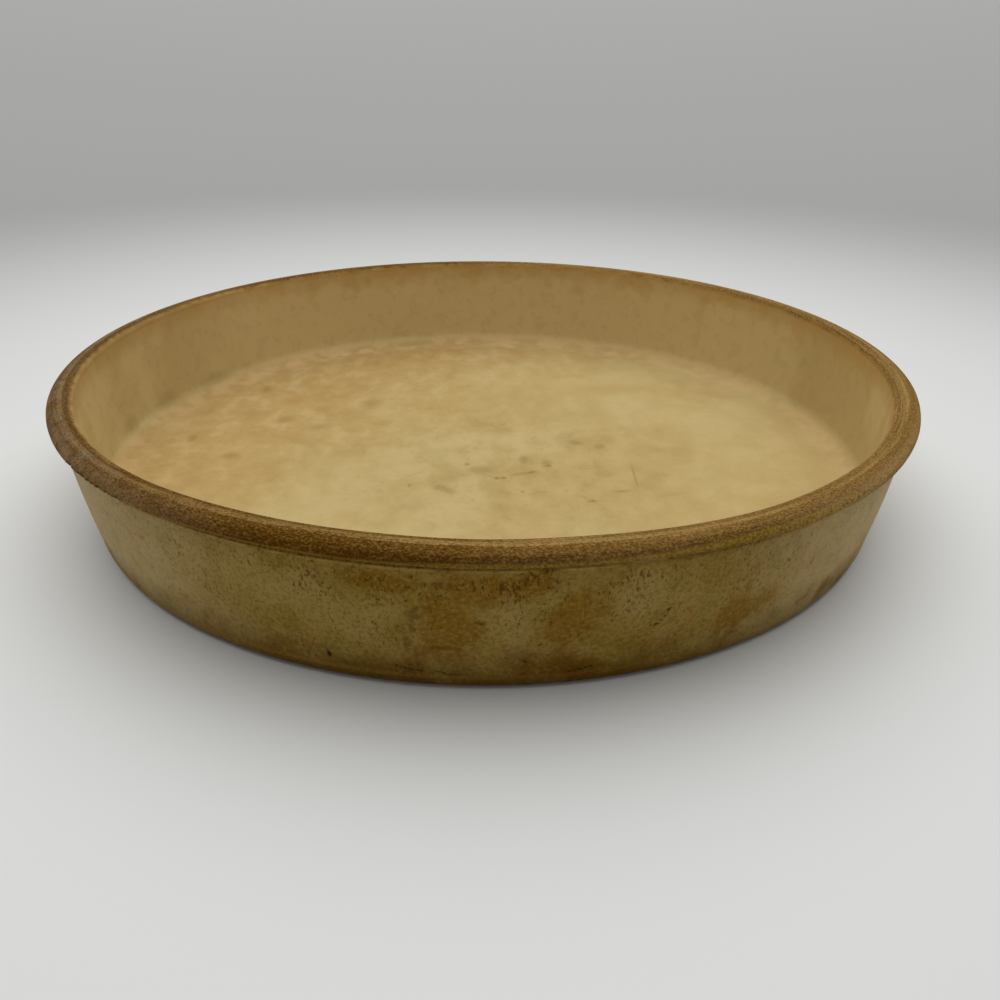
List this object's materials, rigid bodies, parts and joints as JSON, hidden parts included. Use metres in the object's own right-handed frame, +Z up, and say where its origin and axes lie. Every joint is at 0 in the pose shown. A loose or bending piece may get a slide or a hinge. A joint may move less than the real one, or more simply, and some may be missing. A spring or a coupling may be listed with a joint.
{
  "type": "deep dish baking stone",
  "caption": "Round unglazed stoneware baking dish with a flat floor, a low leaning wall, a rounded rolled rim and a flat foot ring.",
  "frame": {"origin": "centre of the circle that the dish stands on, at the height of the table", "axes": "+Z up along the axis that the dish is turned about; +Y away from the camera of the picture; +X to its right"},
  "size_m": [0.283, 0.283, 0.0448],
  "materials": {
    "stoneware": "matte"
  },
  "bodies": {
    "root": {"stoneware_dish": "stoneware"}
  },
  "joints": []
}
